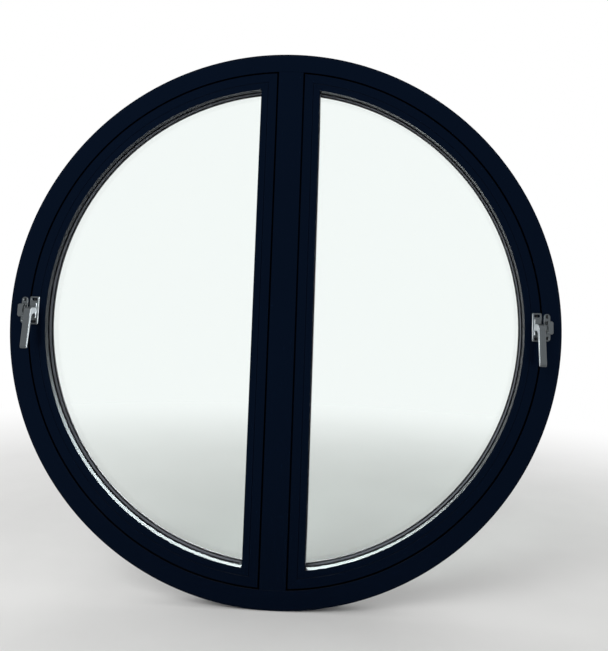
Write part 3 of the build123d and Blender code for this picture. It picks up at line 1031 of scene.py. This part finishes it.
def white_surroundings(ambient):
    """A world that the camera, mirrors and glass see as white, and that lights softly."""
    world = bpy.data.worlds.new("white_surroundings")
    world.use_nodes = True
    tree = world.node_tree
    tree.nodes.clear()
    strength = maths(tree, "MULTIPLY_ADD", seen_plainly(tree), 1.0 - ambient, ambient)
    glow = put(tree, "ShaderNodeBackground", {"Color": (1, 1, 1, 1), "Strength": strength})
    put(tree, "ShaderNodeOutputWorld", {"Surface": glow.outputs[0]})
    bpy.context.scene.world = world


def floor_finish(s):
    """A pale floor that runs into the white background far from the window and keeps its shadow near it."""
    made, tree, shader, output = new_material("pale_floor", {"Roughness": 0.9, "Specular IOR Level": 0.1})
    place = put(tree, "ShaderNodeTexCoord").outputs["Object"]
    tone = ranged(tree, noise(tree, place, 3.0, 5.0), 0.3, 0.7, 0.97, 1.03)
    tree.links.new(scaled(tree, s.floor_tone[:], tone), shader.inputs["Base Color"])
    away = put(tree, "ShaderNodeVectorMath", {0: place}, operation="LENGTH").outputs["Value"]
    fade = ranged(tree, away, s.fade_start, s.fade_end, 0.0, 1.0, interpolation_type="SMOOTHSTEP")
    white = put(tree, "ShaderNodeEmission", {"Color": (1, 1, 1, 1), "Strength": 1.0})
    lay_over(tree, maths(tree, "MULTIPLY", fade, seen_plainly(tree)), shader, white, output)
    return made


def soft_lamp(name, place, target, width, height, watts):
    """An area lamp that looks at a target."""
    data = bpy.data.lights.new(name, "AREA")
    data.shape = "RECTANGLE"
    data.size, data.size_y = width, height
    data.energy = watts
    lamp = new_piece(name, data)
    lamp.location = place
    lamp.rotation_mode = "QUATERNION"
    lamp.rotation_quaternion = (Vector(target) - Vector(place)).to_track_quat("-Z", "Y")
    lamp.visible_camera = False
    return lamp


def aim_only(lamp, name, pieces, block=False):
    """Has a lamp light these pieces alone, and only by rays aimed at it, which the glass lets pass."""
    lit = bpy.data.collections.new(name)
    for piece in pieces:
        lit.objects.link(piece)
    lamp.light_linking.receiver_collection = lit
    if block:
        lamp.light_linking.blocker_collection = lit
    lamp.data.cycles.use_multiple_importance_sampling = False


class WINDOW_OT_studio(bpy.types.Operator):
    """Sets the pale floor, the white surroundings, the lamps and the camera"""

    bl_idname = "round_window.studio"
    bl_label = "Studio"

    def execute(self, context):
        s = settings("studio")
        context.scene.view_settings.view_transform = "Standard"
        white_surroundings(s.ambient)
        self.floor(s)
        self.lamps(context.scene, s)
        self.camera(context.scene, s)
        return {"FINISHED"}

    def floor(self, s):
        """Lays the round floor just under the ring."""
        shape = bmesh.new()
        bmesh.ops.create_circle(shape, cap_ends=True, segments=FLOOR_SIDES, radius=s.floor_radius)
        mesh = mesh_of(shape, "studio_floor")
        mesh.transform(Matrix.Translation((0, 0, RING_LOW.z - FLOOR_GAP)))
        mesh.materials.append(floor_finish(s))
        new_piece("studio_floor", mesh)

    def lamps(self, scene, s):
        """Hangs the soft lamp in the room, the one outside, and one beside each handle."""
        centre = (0, 0, 0)
        key = soft_lamp("room_softbox", s.key_place, centre, s.key_size, s.key_size, s.key_power)
        key.visible_glossy = key.visible_transmission = False
        back = soft_lamp("outside_softbox", s.back_place, centre, s.back_width, s.back_height, s.back_power)
        back.visible_diffuse = back.visible_transmission = False
        coated = ("_profile", "ring_frame", "fixed_mullion")
        aim_only(back, "coated_profiles", [o for o in scene.objects if o.name.endswith(coated)])
        for side, sign in SIDES.items():
            (x, *place), (far_x, *target) = s.glow_place, s.glow_target
            glow = soft_lamp(
                f"{side}_glass_glow", (sign * x, *place), (sign * far_x, *target),
                s.glow_width, s.glow_height, s.glow_power,
            )
            parts = [bpy.data.objects[f"{side}_{part}_casting"] for part in ("lever", "base", "keeper")]
            aim_only(glow, f"{side}_lit_by_glass", parts, block=True)

    def camera(self, scene, s):
        """Stands the camera where the reference picture was taken from."""
        ahead = Vector((sin(s.yaw) * cos(s.pitch), cos(s.yaw) * cos(s.pitch), sin(s.pitch)))
        right = Vector((cos(s.yaw), -sin(s.yaw), 0))
        above = right.cross(ahead)
        across = cos(s.roll) * right + sin(s.roll) * above
        up = cos(s.roll) * above - sin(s.roll) * right
        data = bpy.data.cameras.new("window_camera")
        data.lens, data.sensor_width, data.shift_y = s.lens, SENSOR_WIDTH, s.lens_shift
        data.clip_start, data.clip_end = 0.01, 100.0
        camera = new_piece("window_camera", data)
        turned = Matrix((across, up, -ahead)).transposed().to_4x4()
        camera.matrix_world = Matrix.Translation(s.camera_place) @ turned
        scene.camera = camera


class WINDOW_PT_panel(bpy.types.Panel):
    """Lists the window's pieces in the sidebar"""

    bl_idname = "WINDOW_PT_panel"
    bl_label = "Round window"
    bl_space_type = "VIEW_3D"
    bl_region_type = "UI"
    bl_category = "Round window"

    def draw(self, context):
        for operator in OPERATORS:
            self.layout.operator(operator.bl_idname)
        for name in GROUPS:
            box = self.layout.box()
            box.label(text=name.capitalize())
            group = settings(name)
            for prop in group.bl_rna.properties:
                if prop.identifier not in ("rna_type", "name"):
                    box.prop(group, prop.identifier)


OPERATORS = (
    WINDOW_OT_ring_frame,
    WINDOW_OT_mullion,
    WINDOW_OT_sashes,
    WINDOW_OT_glazing,
    WINDOW_OT_rubber,
    WINDOW_OT_hinges,
    WINDOW_OT_handles,
    WINDOW_OT_screws,
    WINDOW_OT_studio,
)

GROUPS = {
    "finishes": WindowFinishes,
    "profiles": WindowProfiles,
    "glazing": WindowGlazing,
    "fittings": WindowFittings,
    "studio": WindowStudio,
}


def register():
    """Adds the classes and hangs the settings on the scene."""
    for item in (*GROUPS.values(), *OPERATORS, WINDOW_PT_panel):
        bpy.utils.register_class(item)
    for name, group in GROUPS.items():
        setattr(bpy.types.Scene, "round_window_" + name, PointerProperty(type=group))


def unregister():
    """Takes the settings and classes away again."""
    for name in GROUPS:
        delattr(bpy.types.Scene, "round_window_" + name)
    for item in reversed((*GROUPS.values(), *OPERATORS, WINDOW_PT_panel)):
        bpy.utils.unregister_class(item)


def main():
    """Builds every piece in order."""
    register()
    bpy.ops.round_window.ring_frame()
    bpy.ops.round_window.mullion()
    bpy.ops.round_window.sashes()
    bpy.ops.round_window.glazing()
    bpy.ops.round_window.rubber()
    bpy.ops.round_window.hinges()
    bpy.ops.round_window.handles()
    bpy.ops.round_window.screws()
    bpy.ops.round_window.studio()


if __name__ == "__main__":
    main()
